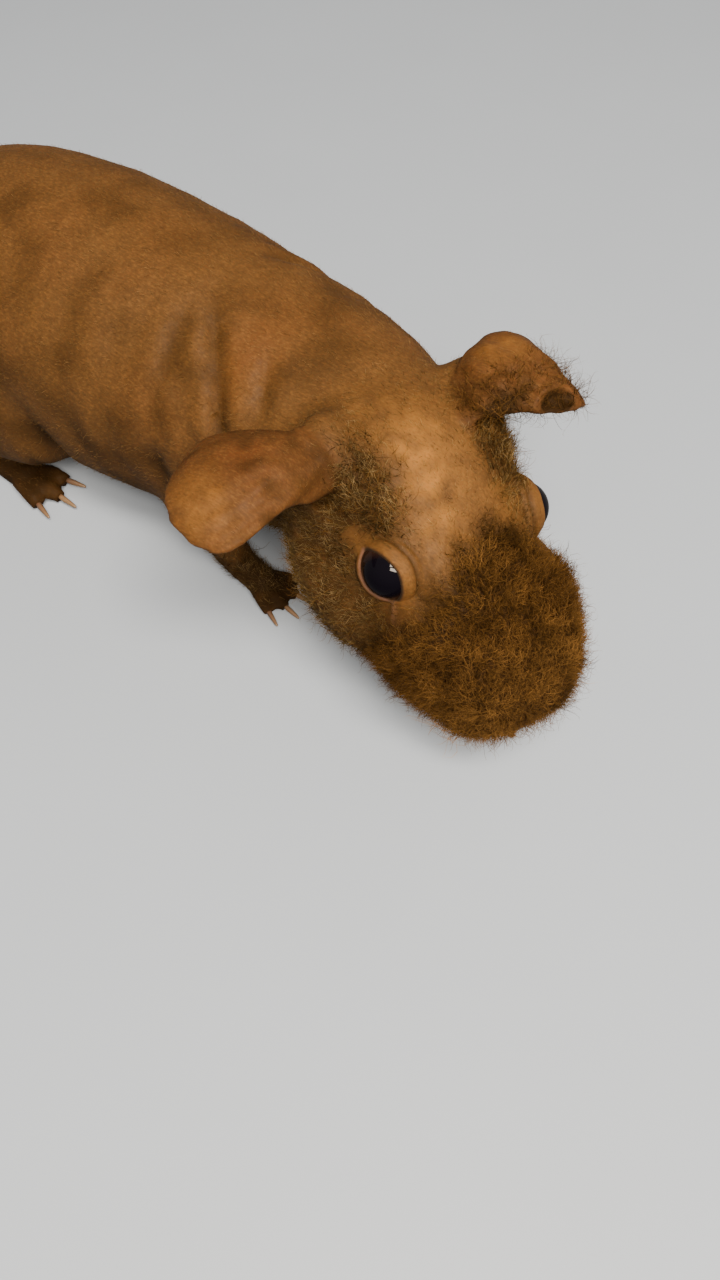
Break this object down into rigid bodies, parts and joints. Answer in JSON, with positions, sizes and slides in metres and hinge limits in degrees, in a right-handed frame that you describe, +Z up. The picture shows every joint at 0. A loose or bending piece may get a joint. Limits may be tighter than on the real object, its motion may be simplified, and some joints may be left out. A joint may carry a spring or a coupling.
{
  "type": "young skinny pig",
  "caption": "Young hairless guinea pig standing with its head low and turned right, drooping ears, folded brown skin and short feet with claws.",
  "frame": {"origin": "on the floor under the middle of the outline's box", "axes": "+Z up from the floor, -Y the way the body faces, +X the animal's left"},
  "size_m": [0.087, 0.1882, 0.0686],
  "materials": {
    "skin": "soft matt brown bare skin with a short fuzz, darkest on the muzzle",
    "ear": "thin bare warm brown skin",
    "eye": "wet and glossy, nearly black",
    "claw": "smooth brown horn"
  },
  "bodies": {
    "root": {"torso": "skin", "neck": "skin", "head": "skin", "ear_left": "ear", "eye_left": "eye", "ear_right": "ear", "eye_right": "eye", "leg_front_left": "skin", "foot_front_left": "skin", "claw_front_left_1": "claw", "claw_front_left_2": "claw", "claw_front_left_3": "claw", "claw_front_left_4": "claw", "leg_hind_left": "skin", "foot_hind_left": "skin", "claw_hind_left_1": "claw", "claw_hind_left_2": "claw", "claw_hind_left_3": "claw", "leg_front_right": "skin", "foot_front_right": "skin", "claw_front_right_1": "claw", "claw_front_right_2": "claw", "claw_front_right_3": "claw", "claw_front_right_4": "claw", "leg_hind_right": "skin", "foot_hind_right": "skin", "claw_hind_right_1": "claw", "claw_hind_right_2": "claw", "claw_hind_right_3": "claw"}
  },
  "joints": []
}
